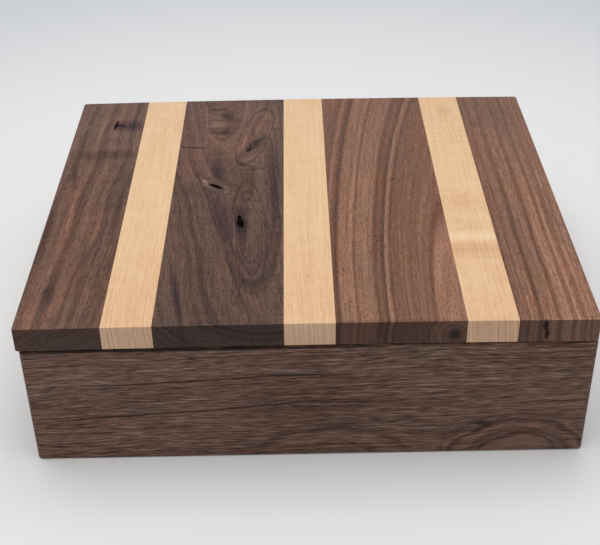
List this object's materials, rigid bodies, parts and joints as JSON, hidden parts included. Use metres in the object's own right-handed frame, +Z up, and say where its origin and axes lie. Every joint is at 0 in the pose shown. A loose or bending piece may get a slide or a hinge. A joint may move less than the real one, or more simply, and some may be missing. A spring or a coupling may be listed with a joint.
{
  "type": "keepsake box",
  "caption": "Low rectangular wooden box with mitred corners and a hinged slab lid of dark staves and light stripes, held by two stop hinges at the back.",
  "frame": {"origin": "middle of the box's overall outline, hinge barrels included, on the surface that it stands on", "axes": "+X to the right across the lid's stripes, +Y to the back where the hinges are, +Z up"},
  "size_m": [0.3055, 0.2708, 0.0918],
  "materials": {
    "walnut": "satin oil",
    "maple": "satin oil",
    "plywood": "sanded",
    "brass": "satin"
  },
  "bodies": {
    "case": {"front_wall": "walnut", "back_wall": "walnut", "left_wall": "walnut", "right_wall": "walnut", "bottom_panel": "plywood", "left_hinge_case_leaf": "brass", "left_hinge_pin": "brass", "left_hinge_case_screw_1": "brass", "left_hinge_case_screw_2": "brass", "right_hinge_case_leaf": "brass", "right_hinge_pin": "brass", "right_hinge_case_screw_1": "brass", "right_hinge_case_screw_2": "brass"},
    "lid": {"lid_stave_left": "walnut", "lid_stripe_left": "maple", "lid_stave_inner_left": "walnut", "lid_stripe_middle": "maple", "lid_stave_inner_right": "walnut", "lid_stripe_right": "maple", "lid_stave_right": "walnut", "left_hinge_lid_leaf": "brass", "left_hinge_lid_screw_1": "brass", "left_hinge_lid_screw_2": "brass", "right_hinge_lid_leaf": "brass", "right_hinge_lid_screw_1": "brass", "right_hinge_lid_screw_2": "brass"}
  },
  "joints": [
    {"name": "lid_hinge", "type": "hinge", "parent": "case", "child": "lid", "pos_m": [0, 0.13267, 0.07655], "axis": [-1, 0, 0], "range_deg": [0, 95]}
  ]
}
